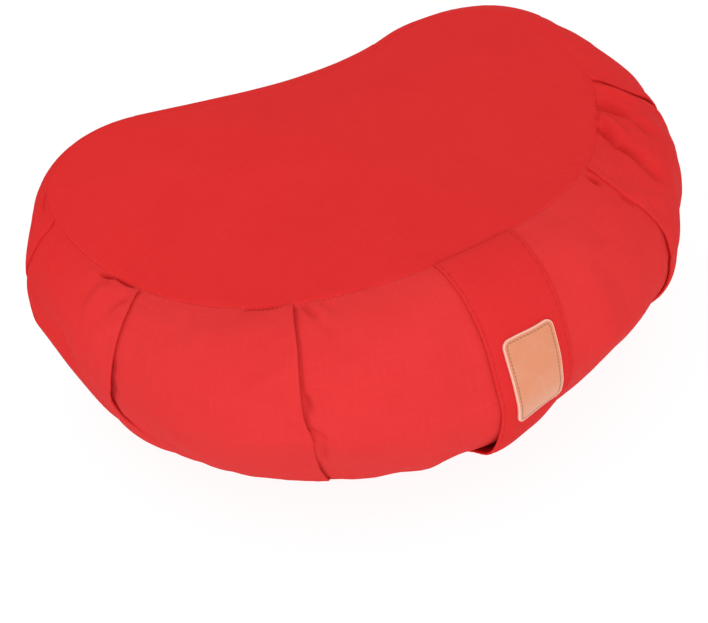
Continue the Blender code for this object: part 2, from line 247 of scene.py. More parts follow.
FRONT_RADIUS = (HORN_X**2 + FRONT_REACH**2 - HORN_RADIUS**2) / (2 * (FRONT_REACH - HORN_RADIUS))
FRONT_Y = FRONT_RADIUS - FRONT_REACH
HEEL_RADIUS = (HORN_X**2 + HEEL_REACH**2 - HORN_RADIUS**2) / (2 * (HORN_RADIUS - HEEL_REACH))
HEEL_Y = HEEL_REACH + HEEL_RADIUS
FRONT_ANGLE = math.atan2(HORN_X, FRONT_Y)
HEEL_ANGLE = math.atan2(HORN_X, HEEL_Y)
FRONT_LENGTH = FRONT_RADIUS * FRONT_ANGLE
HORN_LENGTH = HORN_RADIUS * (math.pi + HEEL_ANGLE - FRONT_ANGLE)
HALF_ROUND = FRONT_LENGTH + HORN_LENGTH + HEEL_RADIUS * HEEL_ANGLE
PACE = HALF_ROUND / math.pi  # metres along the seam in a radian of angle
BAND_STRETCH = 1.12  # metres round the upper band for a metre along the seam
UV_STRETCH = 1.1  # the same in the cloth coordinates


def even_plan(angle):
    """Edge point and outward normal of the even crescent of four tangent arcs."""
    turned = np.mod(angle, TURN)
    side = np.where(turned <= math.pi, 1.0, -1.0)
    walked = PACE * np.minimum(turned, TURN - turned)
    where = [walked <= FRONT_LENGTH, walked <= FRONT_LENGTH + HORN_LENGTH]
    front = walked / FRONT_RADIUS
    horn = FRONT_ANGLE + (walked - FRONT_LENGTH) / HORN_RADIUS
    heel = (HALF_ROUND - walked) / HEEL_RADIUS
    nx = np.select(where, [np.sin(front), np.sin(horn)], -np.sin(heel))
    ny = np.select(where, [-np.cos(front), -np.cos(horn)], np.cos(heel))
    px = np.select(where, [FRONT_RADIUS * nx, HORN_X + HORN_RADIUS * nx], -HEEL_RADIUS * nx)
    py = np.select(where, [FRONT_Y + FRONT_RADIUS * ny, HORN_RADIUS * ny], HEEL_Y - HEEL_RADIUS * ny)
    return np.stack([side * px, py], -1), np.stack([side * nx, ny], -1)


def off_front(angle):
    """Distance along the seam from the front middle."""
    return np.abs(angle - TURN * np.round(angle / TURN)) * PACE


def in_front(reach, angle):
    """1 round the front, easing to 0 on the left and on the right as the reach says."""
    turned = np.degrees(angle) % 360
    return np.maximum(ease(*reach[0], turned), ease(*reach[1], turned))


def near_handle(angle):
    """1 under the handle, falling to 0 beside it."""
    return 1 - ease(*PRESS_EDGE, off_front(angle) - HANDLE_WIDTH / 2)


def panel_edge(angle, down):
    """Edge of the panels in plan, and its outward normal. The handle draws the bottom one in."""
    point, normal = even_plan(angle)
    out = waves(PLAN_WAVES, angle) - HANDLE_DRAW * ease(DRAW_STARTS, 1.0, down) * near_handle(angle)
    return point + PLAN_SHIFT + out[..., None] * normal, normal


def dents(table, angle, level):
    """Depth of a table's dents at an angle and a level, which is a share of the way down or a height."""
    turned = np.degrees(angle)
    total = 0.0
    for place, half_width, middle, half_height, depth in table:
        aside = np.abs((turned - place + 180) % 360 - 180)
        total = total + depth * ease(1, 0, aside / half_width) * ease(1, 0, np.abs(level - middle) / half_height)
    return total


def band(angle, down, puff=0.0):
    """Points of the side band without its pleats. Puff is how far the cloth swells there."""
    angle, down, puff = np.broadcast_arrays(angle, down, puff)
    edge, normal = panel_edge(angle, down)
    bulge = FRONT_BULGE + (HEEL_BULGE - FRONT_BULGE) * np.maximum(normal[..., 1], 0) + waves(BULGE_WAVES, angle)
    across = np.sin(math.pi * down).clip(0, 1)
    along = np.abs(np.cos(math.pi * down))
    upper = down <= 0.5
    rise = TOP_SEAM_Z + waves(TOP_WAVES, angle) - WIDEST_Z
    z = np.where(
        upper,
        WIDEST_Z + rise * along ** (2 / SHOULDER),
        WIDEST_Z - (WIDEST_Z - BOTTOM_SEAM_Z) * along ** (2 / UNDERSIDE),
    )
    out = bulge * across ** (2 / np.where(upper, SHOULDER, UNDERSIDE))
    held = ease(0, SEAM_HOLD, np.minimum(down, 1 - down))
    sunk = HANDLE_PRESS * near_handle(angle) + dents(DENTS, angle, down) + dents(CLOTH_DENTS, angle, z)
    out = out + (puff - sunk) * held
    plan = edge + out[..., None] * normal
    return np.concatenate([plan, z[..., None]], -1)


def band_normal(angle, down, puff=0.0):
    """Outward normals of the side band."""
    step = 0.004
    low, high = np.clip(down - step, 0, 1), np.clip(down + step, 0, 1)
    fall = band(angle, high, puff) - band(angle, low, puff)
    round_it = band(angle + step, down, puff) - band(angle - step, down, puff)
    normal = np.cross(fall, round_it)
    return normal / np.maximum(np.linalg.norm(normal, axis=-1, keepdims=True), 1e-12)


def walk(points):
    """Distance walked to each point of a line."""
    return np.append(0, np.cumsum(np.linalg.norm(np.diff(points, axis=0), axis=1)))


SHARES = np.linspace(0, 1, 2001)
WALKED = walk(band(0.5, SHARES))  # distance down the band at its front
BAND_DEPTH = WALKED[-1]


def share_at(distance):
    return np.interp(distance, WALKED, SHARES)


def walked_at(down):
    return np.interp(down, SHARES, WALKED)


def puckers(angle, distance):
    """Small gathers beside the top seam, at a distance from it."""
    along = off_front(angle)
    slow, quick = np.sin(TURN * along / 0.047), np.sin(TURN * along / 0.021)
    uneven = np.sin(TURN * along / PUCKER_PITCH + 2.1 * slow + 1.3 * quick)
    strength = 0.55 + 0.45 * np.sin(TURN * along / 0.083 + 1.0)
    return PUCKER_HEIGHT * uneven * strength * np.exp(-distance / PUCKER_REACH)


def smooth_line(table):
    """Values of a short table at SHARES, with its corners rounded."""
    places, values = np.array(table, dtype=float).T
    line = np.interp(SHARES, places, values)
    reach = 40
    window = np.hanning(2 * reach + 1)
    return np.convolve(np.pad(line, reach, "edge"), window / window.sum(), "valid")


PLEAT_LINES = [tuple(smooth_line(table) for table in pleat) for pleat in PLEATS]


def pleat_angle(number, down):
    """Angle of a pleat at a share of the way down. Numbers run on past a full turn."""
    turns, index = divmod(number, len(PLEATS))
    return np.radians(np.interp(down, SHARES, PLEAT_LINES[index][0])) + turns * TURN


def lip_height(index, down):
    """Height of a pleat's folded edge over the band."""
    return np.interp(down, SHARES, PLEAT_LINES[index][1]) / 1000


def gape(index, down):
    """How far a pleat stands open."""
    return np.interp(down, SHARES, PLEAT_LINES[index][2]) / 1000


def tuck_level(index, down):
    """Height of the cloth beside the folded edge, that goes in under it, without its valley."""
    return lip_height(index, down) - 2 * LIP_RADIUS - gape(index, down)


def valley(index, down):
    """How far the cloth sinks beside a folded edge."""
    return VALLEY[index] / 1000 * np.clip(lip_height(index, down) / FULL_LIP, 0, 1)


def creases(angle, down):
    """Height of the soft folds over the smooth band."""
    walked = walked_at(down)
    total = 0.0
    for angle0, down0, angle1, down1, width, height in CREASES:
        x = (angle - math.radians(angle0) + math.pi) % TURN - math.pi
        x, y = x * PACE * BAND_STRETCH, walked - walked_at(down0)
        run_x = math.radians(angle1 - angle0) * PACE * BAND_STRETCH
        run_y = walked_at(down1) - walked_at(down0)
        length = math.hypot(run_x, run_y)
        along = (x * run_x + y * run_y) / length
        aside = (y * run_x - x * run_y) / length
        taper = ease(-1.0 * width, 1.5 * width, along) * ease(length + width, length * 0.55, along)
        total = total + height * bell(aside, width) * taper
    return total


# ---- Meshes, objects and nodes ----


def new_mesh(name, points, edges=(), faces=()):
    mesh = bpy.data.meshes.new(name)
    mesh.from_pydata(np.asarray(points).tolist(), edges, faces)
    mesh.validate()
    return mesh


def add_object(name, data):
    """Puts a mesh, light or camera into the scene."""
    placed = bpy.data.objects.new(name, data)
    bpy.context.scene.collection.objects.link(placed)
    return placed


def new_piece(name, mesh, *materials):
    for material in materials:
        mesh.materials.append(material)
    mesh.shade_smooth()
    return add_object(name, mesh)


def read(items, key, kind=int, width=1):
    values = np.empty(len(items) * width, dtype=kind)
    items.foreach_get(key, values)
    return values


def set_attribute(mesh, name, values, domain="POINT"):
    attribute = mesh.attributes.new(name, "FLOAT", domain)
    attribute.data.foreach_set("value", np.asarray(values, dtype=np.float32).ravel())


def set_uv(mesh, corners):
    layer = mesh.uv_layers.new(name="cloth")
    layer.data.foreach_set("uv", np.asarray(corners, dtype=np.float32).ravel())


def fill(tree, node, values):
    """Sets or links a node's sockets."""
    for key, value in values.items():
        value = value.socket if isinstance(value, Amount) else value
        if isinstance(value, bpy.types.NodeSocket):
            tree.links.new(value, node.inputs[key])
        else:
            node.inputs[key].default_value = value


def add_node(tree, kind, settings=None, values=None):
    """A node of this kind: its settings first, then the values or links of its sockets."""
    node = tree.nodes.new(kind)
    for key, value in (settings or {}).items():
        setattr(node, key, value)
    fill(tree, node, values or {})
    return node


# ---- Columns and rows of the cover ----

COLUMNS_IN_GAP = (136, 66, 36, 28, 34, 40, 74, 62)  # in each stretch between two pleats, from the front one on
CROWDING = 0.10  # how much closer they are beside the pleats
TOP_RINGS = 24
TOP_SPAN = (0.004, 0.975)  # share of the way to the middle of the first ring and of the last
BASE_RINGS = (0.02, 0.06, 0.15, 0.40, 0.70)
FOLD = (  # section of a pleat, from the cloth that goes in under the folded edge to the top of that edge
    *(("tuck", share) for share in (0.10, 0.45, 0.80)),
    ("turn", 1.0),
    *(("under", share) for share in (0.80, 0.45, 0.15)),
    *(("lip", turned) for turned in (-60, -25, 10, 45, 80)),
)


def cover_columns():
    """(gap, share, pleat, step) of each column. Columns of a pleat's own fold have gap -1."""
    columns = []
    for gap, steps in enumerate(COLUMNS_IN_GAP):
        even = np.arange(steps + 1) / steps
        columns += [(gap, share, -1, 0) for share in even - CROWDING * np.sin(TURN * even)]
        columns += [(-1, 0.0, gap, step) for step in range(len(FOLD))]
    return columns


def fold_opens(down):
    """0 in both seams, where the pleats are sewn flat, and 1 between them."""
    return ease(0.0, FOLD_SPAN[0], down) * ease(1.0, FOLD_SPAN[1], down)


def column_angle(column, down):
    """(angle, height over the smooth band, puff) of a column at each share of the way down."""
    gap, share, pleat, step = column
    if gap >= 0:
        before, after = ((gap - 1) % len(PLEATS) < ON_THE_RIGHT), (gap >= ON_THE_RIGHT)
        start = pleat_angle(gap - 1, down) + (LIP_MARGIN if before else TUCK_MARGIN) / PACE
        end = pleat_angle(gap, down) - (LIP_MARGIN if after else TUCK_MARGIN) / PACE
        angle = start + (end - start) * share
        height = side_height(gap - 1, True, (angle - start) * PACE, down)
        height = height + side_height(gap, False, (end - angle) * PACE, down)
        return angle, height, PUFF * np.sin(math.pi * share) * np.ones_like(down)
    far_side = pleat < ON_THE_RIGHT
    order = step if far_side else len(FOLD) - 1 - step
    kind, across = FOLD[order]
    high, radius = lip_height(pleat, down), LIP_RADIUS
    deep = TUCK_DEPTH + GAPE_DEPTH * np.maximum(gape(pleat, down), 0)
    deep = deep * ease(0.0, TUCK_SPAN[0], down) * ease(1.0, TUCK_SPAN[1], down)
    floor = tuck_level(pleat, down) - valley(pleat, down)
    if kind == "tuck":
        x, level = across * deep, floor
    elif kind == "turn":
        x, level = deep + TURN_DEPTH * gape(pleat, down), (floor + high) / 2 - radius
    elif kind == "under":
        x, level = across * deep, high - 2 * radius
    else:
        turned = math.radians(across)
        x, level = radius - radius * math.cos(turned), high - radius + radius * math.sin(turned)
    order_share = (order + 1) / (len(FOLD) + 1)
    opened = fold_opens(down)
    closed = -TUCK_MARGIN + (TUCK_MARGIN + LIP_MARGIN) * order_share
    x = closed * (1 - opened) + x * opened
    level = level * opened + (1 - opened) * SEWN_LIP * high * order_share
    side = 1 if far_side else -1
    return pleat_angle(pleat, down) + side * x / PACE, level, np.zeros_like(down)


def side_height(number, is_start, away, down):
    """Height that a pleat gives the cloth beside it, at a distance from it."""
    index = number % len(PLEATS)
    opened = fold_opens(down)
    if is_start == (index < ON_THE_RIGHT):
        return (SEWN_LIP + (1 - SEWN_LIP) * opened) * lip_height(index, down) * np.exp(-away / LIP_REACH)
    sunk = valley(index, down) * bell(away, VALLEY_WIDTH)
    return opened * (tuck_level(index, down) * np.exp(-away / TUCK_REACH) - sunk)


def column_angles(columns, downs):
    return np.stack([column_angle(column, downs)[0] for column in columns], 1)


def band_rows():
    """Shares of the way down of the band's rows, close together at both seams."""
    top = [0.0, 0.0003, 0.0007, 0.0012, 0.0018, 0.0026, 0.0036, 0.0048, 0.0062, 0.0078, 0.0096]
    middle = np.arange(0.0115, BAND_DEPTH - 0.0085, 0.00180)
    foot = BAND_DEPTH - np.array([0.0070, 0.0050, 0.0034, 0.0021, 0.0011, 0.0004, 0.0])
    return share_at(np.concatenate([top, middle, foot]))


def cover_grid(columns, top_rings, downs, base_rings, details=True, firm=1.0):
    """Rows of points from beside the top's middle to beside the base's middle, over all columns.

    Firm is the share of its swell that the cover has: 1 once it is filled."""
    down = np.asarray(downs)
    angle, height, puff = (np.stack(part, 1) for part in zip(*(column_angle(c, down) for c in columns)))
    shares = np.repeat(down[:, None], len(columns), 1)
    puff = puff * (firm + (1 - firm) * near_handle(angle))
    points = band(angle, shares, puff)
    normal = band_normal(angle, shares, puff)
    walked = walked_at(shares)
    if details:
        height = height + creases(angle, shares) + puckers(angle, walked) * ease(0.0, 0.002, walked)
    points = points + normal * height[..., None]
    seam_depth = SEAM_DEPTH * (HIDDEN_SEAM + (1 - HIDDEN_SEAM) * in_front(SEAM_SHOWS, angle[0]))
    groove = seam_depth * bell(walked, GROOVE_WIDTH)
    groove_foot = 0.5 * SEAM_DEPTH * bell(BAND_DEPTH - walked, GROOVE_WIDTH)
    points[..., 2] += groove_foot - groove
    points[..., 2] = np.maximum(points[..., 2], REST_CLEARANCE)
    seam, foot = points[0], points[-1]
    rings = np.asarray(top_rings)[:, None]
    middle = np.array([*PANEL_MIDDLE, 0.0])
    top = seam + (middle - seam) * rings[..., None]
    reach = np.linalg.norm(seam[:, :2] - PANEL_MIDDLE, axis=1)
    inward = rings * reach
    crown = CROWN - (1 - firm) * SWELL_RISE
    top[..., 2] = TOP_SEAM_Z + waves(TOP_WAVES, angle[0]) * (1 - rings) ** 1.5 + crown * (1 - (1 - rings) ** 2)
    top[..., 2] -= seam_depth * bell(inward, GROOVE_WIDTH)
    if details:
        top[..., 2] += 0.8 * puckers(angle[0], inward) * ease(0.0, 0.002, inward)
    base = foot + (middle - foot) * np.asarray(base_rings)[:, None, None]
    base[..., 2] = 0.0
    return top, points, base


def cover_mesh(name, top, side, base):
    """One closed mesh over the three sets of rows, with a point at the middle of the top and of the base."""
    rows = np.concatenate([top, side, base])
    count, across = rows.shape[:2]
    poles = np.array([[*PANEL_MIDDLE, top[0, :, 2].mean()], [*PANEL_MIDDLE, 0.0]])
    points = np.concatenate([rows.reshape(-1, 3), poles])
    index = np.arange(count * across).reshape(count, across)
    onward = np.roll(index, -1, 1)
    quads = np.stack([index[:-1], index[1:], onward[1:], onward[:-1]], -1).reshape(-1, 4)
    first = np.stack([np.full(across, count * across), index[0], onward[0]], -1)
    last = np.stack([np.full(across, count * across + 1), onward[-1], index[-1]], -1)
    return new_mesh(name, points, faces=first.tolist() + quads.tolist() + last.tolist())


# ---- Cloth simulation of the filled cover ----

SWELL_COLUMNS = 18
SWELL_ROWS = 52
SWELL_TOP = (0.92, 0.80, 0.68, 0.56, 0.45, 0.35, 0.26, 0.18, 0.11, 0.06, 0.025)
SWELL_BASE = (0.08, 0.35, 0.70)
SWELL_RISE = 0.0036  # how far the filling lifts the middle of the top panel
SWELL_FRAMES = 20
FIRM = 0.25  # share of its swell that the cover has before it is filled
PLEAT_HOLD = 0.75  # how firmly a pleat holds the cloth beside it
SMOOTHINGS = 14
WRINKLE_CAP = 0.0009
PANEL_SHARE = 0.3  # of the wrinkles, on the top panel
CLOTH = {
    "quality": 6,
    "mass": 0.3,
    "tension_stiffness": 18,
    "compression_stiffness": 18,
    "shear_stiffness": 6,
    "bending_stiffness": 0.6,
    "tension_damping": 8,
    "compression_damping": 8,
    "air_damping": 3,
    "vertex_group_mass": "held",
    "pin_stiffness": 2,
    "use_pressure": True,
    "uniform_pressure_force": 4.0,
    "shrink_min": -0.012,
}


def simulate_swell():
    """Runs the slack cover as cloth under the pressure of its filling, held at its seams, pleats and base.

    Returns how far the cloth moved out along its normal on a grid of rows and columns."""
    shares = np.linspace(0, 1, SWELL_COLUMNS)
    columns = [(gap, share, -1, 0) for gap in range(len(PLEATS)) for share in shares]
    downs = share_at(np.linspace(0, BAND_DEPTH, SWELL_ROWS))
    top, side, base = cover_grid(columns, SWELL_TOP, downs, SWELL_BASE, False, FIRM)
    mesh = cover_mesh("swell", top, side, base)
    cloth = add_object("swell", mesh)
    rows, across = len(top) + len(side) + len(base), len(columns)
    held = np.zeros((rows, across))
    foot = len(top) + len(side) - 1
    held[len(top) : foot + 1] = near_handle(column_angles(columns, downs))
    held[len(top)] = 1.0
    held[foot:] = 1.0
    beside_pleat = np.tile(PLEAT_HOLD * ((shares == 0) | (shares == 1)), len(PLEATS))
    held[len(top) :] = np.maximum(held[len(top) :], beside_pleat)
    group = cloth.vertex_groups.new(name="held")
    for index, weight in enumerate(held.ravel()):
        if weight > 0:
            group.add([index], float(weight), "REPLACE")
    group.add([rows * across + 1], 1.0, "REPLACE")
    modifier = cloth.modifiers.new("cloth", "CLOTH")
    for key, value in CLOTH.items():
        setattr(modifier.settings, key, value)
    modifier.settings.effector_weights.gravity = 0.0
    modifier.collision_settings.use_collision = False
    modifier.point_cache.frame_start = 1
    modifier.point_cache.frame_end = SWELL_FRAMES
    before = np.array([v.co for v in mesh.vertices])
    normals = np.array([v.normal for v in mesh.vertices])
    for frame_number in range(1, SWELL_FRAMES + 1):
        bpy.context.scene.frame_set(frame_number)
    evaluated = cloth.evaluated_get(bpy.context.evaluated_depsgraph_get())
    after = np.array([v.co for v in evaluated.to_mesh().vertices])
    evaluated.to_mesh_clear()
    bpy.context.scene.frame_set(1)
    bpy.data.objects.remove(cloth, do_unlink=True)
    moved = np.einsum("ij,ij->i", after - before, normals)[: rows * across].reshape(rows, across)
    return moved, downs


def wrinkles_of(moved):
    """The wrinkles of a simulated part, without its broad swell. They are nothing at the part's edges."""
    left = moved
    for _ in range(2):
        broad = left.copy()
        for _ in range(SMOOTHINGS):
            broad[1:-1] = (broad[:-2] + 2 * broad[1:-1] + broad[2:]) / 4
            broad[:, 1:-1] = (broad[:, :-2] + 2 * broad[:, 1:-1] + broad[:, 2:]) / 4
        left = left - broad
    return WRINKLE_CAP * np.tanh(left / WRINKLE_CAP)


def spread_wrinkles(moved, downs, columns, rings, fine_downs):
    """The simulated wrinkles at each row and column of the finished cover."""
    count = len(SWELL_TOP)
    fields = []
    for rows in (moved[:count], moved[count : count + len(downs)]):
        parts = [wrinkles_of(part) for part in np.split(rows, len(PLEATS), 1)]
        fields.append(np.concatenate(parts, 1))
    even, steps = np.linspace(0, 1, SWELL_COLUMNS), np.arange(SWELL_COLUMNS)
    across = []
    for gap, share, pleat, _ in columns:
        first = (gap if gap >= 0 else pleat) * SWELL_COLUMNS
        across.append(first + (np.interp(share, even, steps) if gap >= 0 else steps[-1]))
    across = np.array(across, dtype=float)
    low = np.floor(across).astype(int)
    high = np.minimum(low + 1, moved.shape[1] - 1)
    part = across - low
    top, side = (field[:, low] * (1 - part) + field[:, high] * part for field in fields)
    fine_top = np.array([np.interp(rings, SWELL_TOP[::-1], column[::-1]) for column in top.T]).T
    fine_top = fine_top * PANEL_SHARE * ease(0.80, 0.45, rings)[:, None]
    fine_side = np.array([np.interp(walked_at(fine_downs), walked_at(downs), column) for column in side.T]).T
    return fine_top, fine_side


# ---- Cover, handle and patch ----


def make_cushion(cotton):
    """The filled cover: top panel, pleated band and flat base as one closed piece."""
    columns, downs = cover_columns(), band_rows()
    angle = column_angles(columns, downs)
    first, last = TOP_SPAN
    top_rings = (first + (last - first) * np.linspace(0, 1, TOP_RINGS) ** 1.6)[::-1]
    top, side, base = cover_grid(columns, top_rings, downs, BASE_RINGS)
    moved, coarse_downs = simulate_swell()
    on_top, on_side = spread_wrinkles(moved, coarse_downs, columns, top_rings, downs)
    top[..., 2] += on_top
    on_side *= np.maximum(in_front(SEAM_SHOWS, angle), ease(0.05, 0.35, downs)[:, None])
    side += band_normal(angle, np.repeat(downs[:, None], len(columns), 1)) * on_side[..., None]
    side[..., 2] = np.maximum(side[..., 2], REST_CLEARANCE)
    mesh = cover_mesh("cushion", top, side, base)
    lay_cover_uv(mesh, top, side, base, angle, walked_at(downs))
    return new_piece("cushion_cover", mesh, cotton)


def lay_cover_uv(mesh, top, side, base, angle, walked):
    """Cloth coordinates in metres: round and down on the band, plan on the panels; and distance from the seams."""
    rows, across = len(top) + len(side) + len(base), angle.shape[1]
    loops = read(mesh.loops, "vertex_index")
    starts = read(mesh.polygons, "loop_start")
    face_of_loop = np.repeat(np.arange(len(starts)), read(mesh.polygons, "loop_total"))
    points = read(mesh.vertices, "co", float, 3).reshape(-1, 3)
    row, column = np.minimum(loops // across, rows - 1), loops % across
    first_row = np.minimum.reduceat(row, starts)[face_of_loop]
    on_band = (first_row >= len(top)) & (first_row < len(top) + len(side) - 1)
    closes = np.maximum.reduceat(column, starts) - np.minimum.reduceat(column, starts) == across - 1
    turns = closes[face_of_loop] & (column == 0)
    band_row = np.clip(row - len(top), 0, len(side) - 1)
    metres = PACE * UV_STRETCH
    uv = points[loops][:, :2].copy()
    uv[on_band, 0] = (angle[band_row, column] * metres + turns * TURN * metres)[on_band]
    uv[on_band, 1] = walked[band_row][on_band]
    set_uv(mesh, uv)
    set_attribute(mesh, "band", on_band[starts], "FACE")
    from_seam = np.zeros((rows, across))
    reach = np.linalg.norm(side[0][:, :2] - PANEL_MIDDLE, axis=1)
    from_seam[: len(top)] = reach - np.linalg.norm(top[..., :2] - PANEL_MIDDLE, axis=2)
    from_seam[len(top) : len(top) + len(side)] = np.minimum(walked, BAND_DEPTH - walked)[:, None]
    from_seam[len(top) + len(side) :] = 0.05
    set_attribute(mesh, "from_seam", np.append(from_seam, (0.2, 0.2)))
    # The second attribute marks where painted light makes the front of the band paler.
    for name, reach in (("marked", SEAM_SHOWS), ("painted_light", PAINTED_LIGHT_REACH)):
        set_attribute(mesh, name, np.append(np.tile(in_front(reach, angle[0]), rows), (0.0, 0.0)))


def front_surface(x, down):
    """Point and outward normal of the band at the front where it has this X."""
    x, down = np.broadcast_arrays(x, down)
    low, high = np.full(x.shape, -0.5), np.full(x.shape, 0.5)
    for _ in range(32):
        middle = (low + high) / 2
        short = band(middle, down, front_puff(middle, down))[..., 0] < x
        low, high = np.where(short, middle, low), np.where(short, high, middle)
    puff = front_puff(low, down)
    return band(low, down, puff), band_normal(low, down, puff)


def front_puff(angle, down):
    start, end = pleat_angle(-1, down), pleat_angle(0, down)
    return PUFF * np.sin(math.pi * ((angle - start) / (end - start)).clip(0, 1))


def strap_surface(x, down, height):
    """A point at this height over the band under the handle, with the handle's slack."""
    point, normal = front_surface(x, down)
    start, full, kept, gone = SLACK_SPAN
    slack = ease(start, full, down) * (1 - ease(kept, gone, down))
    towards_right = 0.5 + (x - HANDLE_X) / HANDLE_WIDTH
    slack = slack * (HANDLE_SLACK[0] + (HANDLE_SLACK[1] - HANDLE_SLACK[0]) * towards_right)
    point = point + normal * (height + slack)[..., None]
    point[..., 2] = np.maximum(point[..., 2], HANDLE_CLEARANCE)
    return point


FRONT_SHARES = np.linspace(0, 1, 1201)
FRONT_LINE = strap_surface(HANDLE_X, FRONT_SHARES, HANDLE_THICKNESS / 2)  # down the middle of the handle
FRONT_WALKED = walk(FRONT_LINE)


def shell(name, outer, inner):
    """Closed mesh between two grids of points that share their outline."""
    rows, across = outer.shape[:2]
    index = np.arange(rows * across).reshape(rows, across)

    def quads(grid):
        return np.stack([grid[:-1, :-1], grid[1:, :-1], grid[1:, 1:], grid[:-1, 1:]], -1).reshape(-1, 4)

    below = index + rows * across
    rim = np.concatenate([index[0, :-1], index[:-1, -1], index[-1, :0:-1], index[:0:-1, 0]])
    onward = np.roll(rim, -1)
    sides = np.stack([rim, onward, onward + rows * across, rim + rows * across], -1)
    faces = np.concatenate([quads(index), quads(below)[:, ::-1], sides])
    return new_mesh(name, np.concatenate([outer.reshape(-1, 3), inner.reshape(-1, 3)]), faces=faces.tolist())


def vertex_uv(mesh, along, down):
    """Cloth coordinates of a shell: the same for its outer and its inner grid."""
    flat = np.stack([along.ravel(), down.ravel()], -1)
    set_uv(mesh, flat[read(mesh.loops, "vertex_index") % along.size])


STRAP_HEM = 0.0021  # from the handle's edge to its row of stitches
STRAP_HEM_DEPTH = 0.00030
STRAP_THICKNESS = 0.0016
STRAP_LIFT = 0.00015  # between the cover and the handle


def mirrored(insets, half, step):
    """Places from -half to half: at the insets from both ends, and evenly between."""
    insets = np.asarray(insets)
    inner = half - insets[-1] - step / 2
    even = np.linspace(-inner, inner, max(2, round(2 * inner / step)))
    return np.concatenate([-half + insets, even, half - insets[::-1]])


def rounding(inset, radius, least):
    """Height of a rounded edge as a share of its radius, at a distance in from the edge."""
    return np.sqrt(1 - (1 - np.clip(inset / radius, least, 1)) ** 2)


def strap_share(walked):
    return np.interp(walked, FRONT_WALKED, FRONT_SHARES)


def make_strap(cotton):
    """The carry handle: the cloth folded double, stitched along both edges, sewn into the two seams."""
    half = HANDLE_WIDTH / 2
    insets = (0, 0.0001, 0.0003, 0.0006, 0.0010, 0.0014, 0.0018, 0.0021, 0.0024, 0.0028, 0.0033, 0.0040)
    across = mirrored(insets, half, 0.0016)
    end = np.interp(HANDLE_FOOT, FRONT_SHARES, FRONT_WALKED)
    walked = np.concatenate([
        [0.0006, 0.0009, 0.0014, 0.0022, 0.0034],
        np.arange(0.005, end - 0.0035, 0.0017),
        end - np.array([0.0026, 0.0016, 0.0008, 0.0003, 0.0]),
    ])
    across, walked = np.meshgrid(across, walked)
    down = strap_share(walked)
    inset = half - np.abs(across)
    at_ends = np.clip(walked / 0.0040, 0.35, 1) * rounding(end - walked, 0.0014, 0.03)
    thick = STRAP_THICKNESS / 2 * rounding(inset, 0.0010, 0.02) * at_ends
    groove = STRAP_HEM_DEPTH * bell(inset - STRAP_HEM, 0.0006)
    fluff = 0.00020 * np.clip((inset - STRAP_HEM) / 0.006, 0, 1)
    pucker = 0.00012 * np.sin(TURN * walked / 0.0062 + 1.5 * np.sign(across)) * bell(inset - STRAP_HEM, 0.0030)
    middle = STRAP_LIFT + STRAP_THICKNESS / 2
    sunk = 0.0009 * np.exp(-walked / 0.0015)
    outer = strap_surface(HANDLE_X + across, down, middle + thick - groove + fluff + pucker - sunk)
    inner = strap_surface(HANDLE_X + across, down, middle - thick - sunk)
    mesh = shell("carry_handle", outer, inner)
    vertex_uv(mesh, across, walked)
    return new_piece("handle_strap", mesh, cotton), end


PATCH_HEM = 0.0022
PATCH_TURN = 0.8  # degrees: it is sewn on a little askew
PATCH_HEM_DEPTH = 0.00028


def inside_patch(x, y):
    """Distance in from the patch's rounded outline."""
    qx = np.abs(x) - (PATCH_WIDTH / 2 - PATCH_CORNER)
    qy = np.abs(y) - (PATCH_HEIGHT / 2 - PATCH_CORNER)
    outside = np.hypot(np.maximum(qx, 0), np.maximum(qy, 0)) + np.minimum(np.maximum(qx, qy), 0)
    return PATCH_CORNER - outside


def on_patch(x, y, over_strap):
    """A point over the handle at this place on the patch, whose cut edge is a little uneven."""
    turned = math.radians(PATCH_TURN)
    x, y = x * math.cos(turned) - y * math.sin(turned), x * math.sin(turned) + y * math.cos(turned)
    uneven_x = 0.00012 * np.sin(210 * y + 1.0)
    uneven_y = 0.00012 * np.sin(330 * x + 0.5)
    centre = np.interp(PATCH_Z, FRONT_LINE[::-1, 2], FRONT_WALKED[::-1])
    down = strap_share(centre - y + uneven_y)
    return strap_surface(PATCH_X + x + uneven_x, down, STRAP_LIFT + STRAP_THICKNESS + 0.0002 + over_strap)


def make_patch(leather):
    """The leather patch: a thin rounded plate with a pale cut edge and a stitched groove round it. It is bare."""
    insets = (0, 0.00006, 0.00018, 0.00035, 0.0006, 0.0010, 0.0014, 0.0018, 0.0022, 0.0026, 0.0030, 0.0036, 0.0043)
    y = mirrored(insets, PATCH_HEIGHT / 2, 0.0009)[::-1]
    t = mirrored(insets, PATCH_WIDTH / 2, 0.0009) / (PATCH_WIDTH / 2)
    t, y = np.meshgrid(t, y)
    beyond = np.maximum(np.abs(y) - (PATCH_HEIGHT / 2 - PATCH_CORNER), 0)
    half = PATCH_WIDTH / 2 - PATCH_CORNER + np.sqrt(np.maximum(PATCH_CORNER**2 - beyond**2, 0))
    x = t * half
    inset = np.maximum(inside_patch(x, y), 0)
    edge = rounding(inset, 0.00040, 0.0)
    groove = PATCH_HEM_DEPTH * bell(inset - PATCH_HEM, 0.0005)
    pad = 0.00025 * np.clip((inset - PATCH_HEM) / 0.004, 0, 1)
    top = PATCH_THICKNESS - 0.00045 * (1 - edge) - groove + pad
    mesh = shell("leather_patch", on_patch(x, y, top), on_patch(x, y, 0.0003 * (1 - edge)))
    vertex_uv(mesh, x, y)
    set_attribute(mesh, "inset", np.stack([inset, 0 * inset]))
    return new_piece("patch_leather", mesh, leather)


# ---- Stitches ----

THREAD_OUT = 0.00004  # how far the middle of a thread is over its groove


